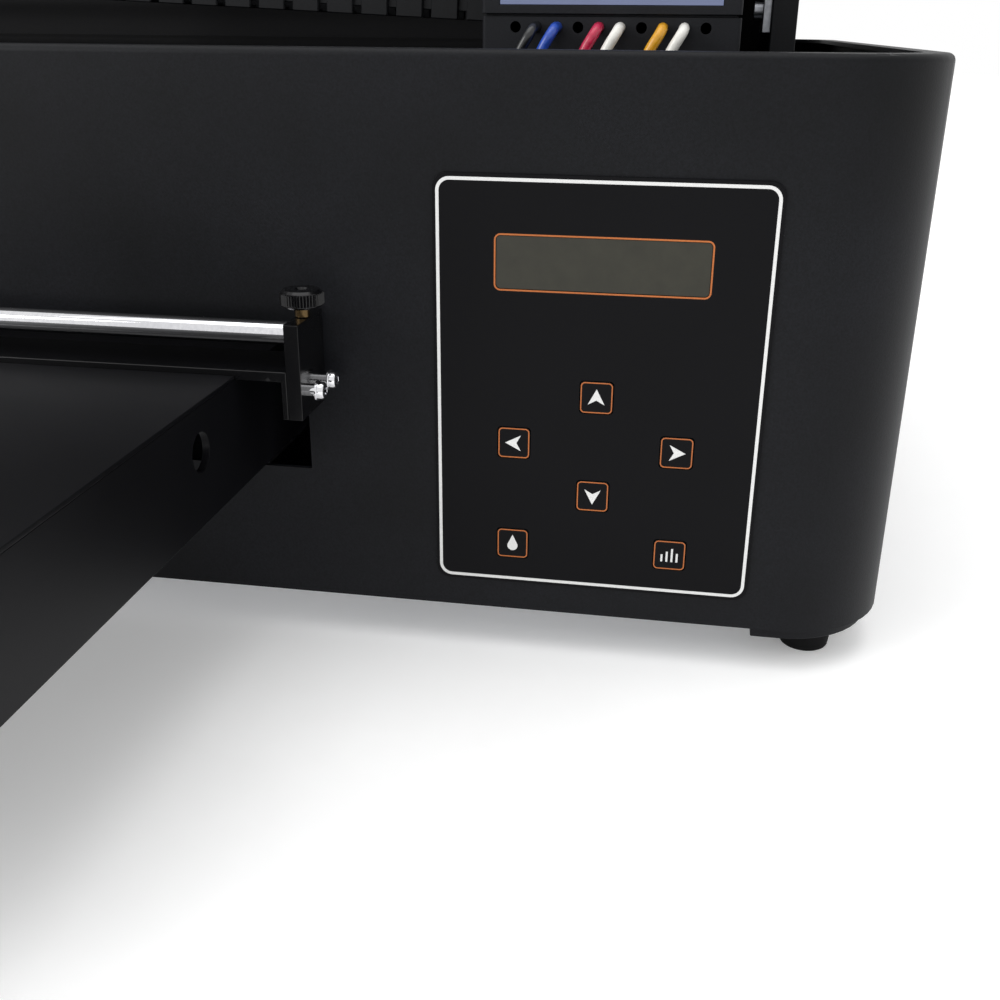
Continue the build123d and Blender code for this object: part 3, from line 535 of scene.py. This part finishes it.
# %% [markdown]
# ## Thumb screws
# A thumb screw's head is knurled so that dry fingers can turn it: fine ridges all round, with a chamfer above and
# below. Head and ridges are black; the stem under it is dull brass.

# %% Thumb screws
RIDGES = 40
KNOB_T, STEM_R, STEM_H, THREAD_R = 6.0, 2.6, 3.5, 1.9


def wedge(width, depth, height):
    """A ridge that stands out along +X, with a sharp crest."""
    mesh = bpy.data.meshes.new("ridge")
    w, h = width / 2 * MM, height / 2 * MM
    inner, crest = -0.3 * MM, depth * MM
    corners = [(inner, -w, -h), (inner, w, -h), (crest, 0, -h * 0.8),
               (inner, -w, h), (inner, w, h), (crest, 0, h * 0.8)]
    mesh.from_pydata(corners, [], [(0, 1, 2), (3, 5, 4), (0, 3, 4, 1), (1, 4, 5, 2), (2, 5, 3, 0)])
    return mesh


for side in ("left", "right"):
    node, body = "thumb_screw_" + side, "thumb_" + side
    low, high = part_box(node)
    axis = middle(node)
    knob_r, knob_t = (high.x - low.x) / 2 / MM, KNOB_T
    head = lathe(node + "_head", [
        (STEM_R + 0.1, 0, False), (knob_r - 1.4, 0, False), (knob_r - 0.6, 0.7, False),
        (knob_r - 0.6, knob_t - 0.9, False),
        (knob_r - 1.5, knob_t - 0.1, False), (knob_r - 2.6, knob_t, False), (2.3, knob_t, False),
        (1.9, knob_t - 0.6, False)])
    foot = high.z - knob_t * MM
    head.transform(Matrix.Translation((axis.x, axis.y, foot)))
    head.materials.append(clamp_black)
    link_piece(node + "_head", head, body, "anodised_black", node)
    ridge_places = []
    for n in range(RIDGES):
        angle = 2 * math.pi * n / RIDGES
        reach = (knob_r - 0.6) * MM
        place = (axis.x + reach * math.cos(angle), axis.y + reach * math.sin(angle),
                 foot + knob_t / 2 * MM - 0.1 * MM)
        ridge_places.append((place, (0, 0, angle)))
    repeat(node + "_knurl", wedge(1.15, 0.58, knob_t - 1.7), ridge_places, clamp_black, body, "anodised_black")
    root = foot / MM
    stem = lathe(node + "_stem", [
        (THREAD_R, low.z / MM, False), (THREAD_R, root - STEM_H, False), (STEM_R - 0.3, root - STEM_H, False),
        (STEM_R, root - STEM_H + 0.3, False), (STEM_R, root, False)])
    stem.transform(Matrix.Translation((axis.x, axis.y, 0)))
    stem.materials.append(turned_brass)
    link_piece(node + "_stem", stem, body, "brass")
print("ridges on each head:", RIDGES)


# %% [markdown]
# ## Cable chain
# A cable chain is a row of hollow nylon links: two side plates joined by bars above and below. The run on the
# carriage's side climbs gently, turns over in a half circle and comes back above. The tree puts a link at each
# pitch along that line.

# %% Cable chain
PITCH, RADIUS, RISE = 15.0, 40.0, math.radians(2.5)
RUN_LINKS, ALL_LINKS = 12, 36
LINK_W, LINK_H = 17.0, 12.0


def boxes(name, sizes_and_places, edge):
    work = bmesh.new()
    for size, place in sizes_and_places:
        made = bmesh.ops.create_cube(work, size=1.0)
        bmesh.ops.scale(work, vec=[v * MM for v in size], verts=made["verts"])
        bmesh.ops.translate(work, vec=[v * MM for v in place], verts=made["verts"])
    bmesh.ops.bevel(work, geom=work.edges[:], offset=edge * MM, segments=1, affect="EDGES")
    mesh = bpy.data.meshes.new(name)
    work.to_mesh(mesh)
    work.free()
    return mesh


def chain_place(distance):
    start = math.pi - RISE
    low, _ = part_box("carriage_cover")
    root_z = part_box("display_housing")[0].z / MM + 4.0
    along = min(distance, RUN_LINKS * PITCH)
    x, z = low.x / MM - along * math.cos(RISE), root_z + along * math.sin(RISE)
    past = max(distance - RUN_LINKS * PITCH, 0.0)
    heading = max(start - past / RADIUS, 0.0)
    x += RADIUS * (math.sin(start) - math.sin(heading))
    z += RADIUS * (math.cos(heading) - math.cos(start))
    x += max(past - start * RADIUS, 0.0)
    return (x * MM, middle("chain_bend").y, z * MM), (0, -heading, 0)


plate_y = LINK_W / 2 - 1.1
link_mesh = boxes("chain_link", [
    ((11.4, 2.2, LINK_H), (0, plate_y, 0)), ((11.4, 2.2, LINK_H), (0, -plate_y, 0)),
    ((5.0, LINK_W - 2, 1.6), (0, 0, LINK_H / 2 - 0.9)), ((5.0, LINK_W - 2, 1.6), (0, 0, 0.9 - LINK_H / 2)),
    ((7.4, 1.6, 5.6), (6.6, plate_y - 1.4, 0)), ((7.4, 1.6, 5.6), (6.6, 1.4 - plate_y, 0))], 0.45)
all_places = [chain_place((n + 0.5) * PITCH) for n in range(ALL_LINKS)]
repeat("chain_bend_links", link_mesh, all_places[RUN_LINKS:], chain_nylon, "chain", "chain_nylon",
       "chain_bend")
run = repeat("chain_run_links", link_mesh.copy(), all_places[:RUN_LINKS], chain_nylon, "carriage", "chain_nylon",
             "chain_run")
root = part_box("carriage_cover")[0]
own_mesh(run)
print("links:", ALL_LINKS)


# %% [markdown]
# ## Ink hoses
# Six soft hoses leave the carriage's holes, bow forward and hang down to the manifold. Each is one smooth NURBS
# line with a round section. Black, blue, magenta, white, yellow, white: the colours tell the inks apart.

# %% Ink hoses
HOLES_WITH_HOSE = (1, 2, 4, 5, 7, 8)
HOLE_PITCH, HOLE_COUNT, HOSE_R = 8.0, 10, 2.0
LEAN, FORWARD = 9.0, 12.0
low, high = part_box("carriage_cover")
hole_z = high.z / MM - 3.7
front_y = low.y / MM
first_x = (low.x + high.x) / 2 / MM - (HOLE_COUNT - 1) * HOLE_PITCH / 2
hose_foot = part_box("ink_manifold")[1].z / MM
for (colour, _, _), hole in zip(HOSE_COLOURS, HOLES_WITH_HOSE):
    x = first_x + hole * HOLE_PITCH
    route = [(x, front_y + 5, hole_z), (x, front_y - 4, hole_z + 0.2), (x, front_y - FORWARD + 0.6, hole_z - 1.0),
             (x - 5, front_y - FORWARD, hole_z - 9), (x - LEAN - 3, front_y - FORWARD, hole_z - 26),
             (x - LEAN, front_y - FORWARD, hose_foot + 6), (x - LEAN, front_y - FORWARD, hose_foot)]
    line = bpy.data.curves.new("hose_" + colour, "CURVE")
    line.dimensions, line.bevel_depth, line.bevel_resolution, line.use_fill_caps = "3D", HOSE_R * MM, 5, True
    line.resolution_u = 10
    spline = line.splines.new("NURBS")
    spline.points.add(len(route) - 1)
    for point, (px, py, pz) in zip(spline.points, route):
        point.co = (px * MM, py * MM, pz * MM, 1.0)
    spline.order_u, spline.use_endpoint_u = 3, True
    hose = bpy.data.objects.new("hose_" + colour, line)
    bpy.context.scene.collection.objects.link(hose)
    mesh = baked(hose)
    mesh.materials.clear()
    mesh.materials.append(hose_finish[colour])
    mesh.shade_smooth()
    link_piece("ink_hose_" + colour, mesh, "carriage", "ink_tube", "ink_tubes")
print("hoses:", len(HOSE_COLOURS))


# %% [markdown]
# ## Floor and light
# The machine stands on a pale table, lit a little from within, in a white room. One wide lamp hangs above, a
# second at the left front draws the sheen on the bed and the clamp bar, and the room's own light fills in.

# %% Floor and light
FLOOR_HALF = 6.0
floor_mesh = bpy.data.meshes.new("floor")
floor_mesh.from_pydata([(-FLOOR_HALF, -FLOOR_HALF, 0), (FLOOR_HALF, -FLOOR_HALF, 0),
                        (FLOOR_HALF, FLOOR_HALF, 0), (-FLOOR_HALF, FLOOR_HALF, 0)], [], [(0, 1, 2, 3)])
floor_mesh.materials.append(surface("floor_paint_pale", "#fafafa", "#f6f6f6", 0.6, 8.0, relief=0.0,
                                   Emission_Color=linear("#ffffff"), Emission_Strength=0.2))
floor = bpy.data.objects.new("floor", floor_mesh)
bpy.context.scene.collection.objects.link(floor)

room = bpy.data.worlds.new("room")
bpy.context.scene.world = room
room.use_nodes = True
room.node_tree.nodes["Background"].inputs["Color"].default_value = linear("#ffffff")
room.node_tree.nodes["Background"].inputs["Strength"].default_value = 1.0
bpy.context.scene.view_settings.view_transform = "Standard"


def lamp(name, place, aim, size, power):
    light = bpy.data.lights.new(name, "AREA")
    light.shape, light.size, light.energy = "SQUARE", size, power
    holder = bpy.data.objects.new(name, light)
    holder.location = place
    holder.rotation_euler = (Vector(aim) - Vector(place)).to_track_quat("-Z", "Y").to_euler()
    bpy.context.scene.collection.objects.link(holder)


lamp("top_lamp", (0.0, -0.3, 1.9), (0.1, 0.0, 0.1), 1.6, 12)
lamp("left_lamp", (-1.5, -1.3, 1.1), (0.1, -0.1, 0.1), 1.1, 18)
print("floor and lamps set")


# %% [markdown]
# ## The end
# The file ends with one last printed line.

# %% The last line
print("done")
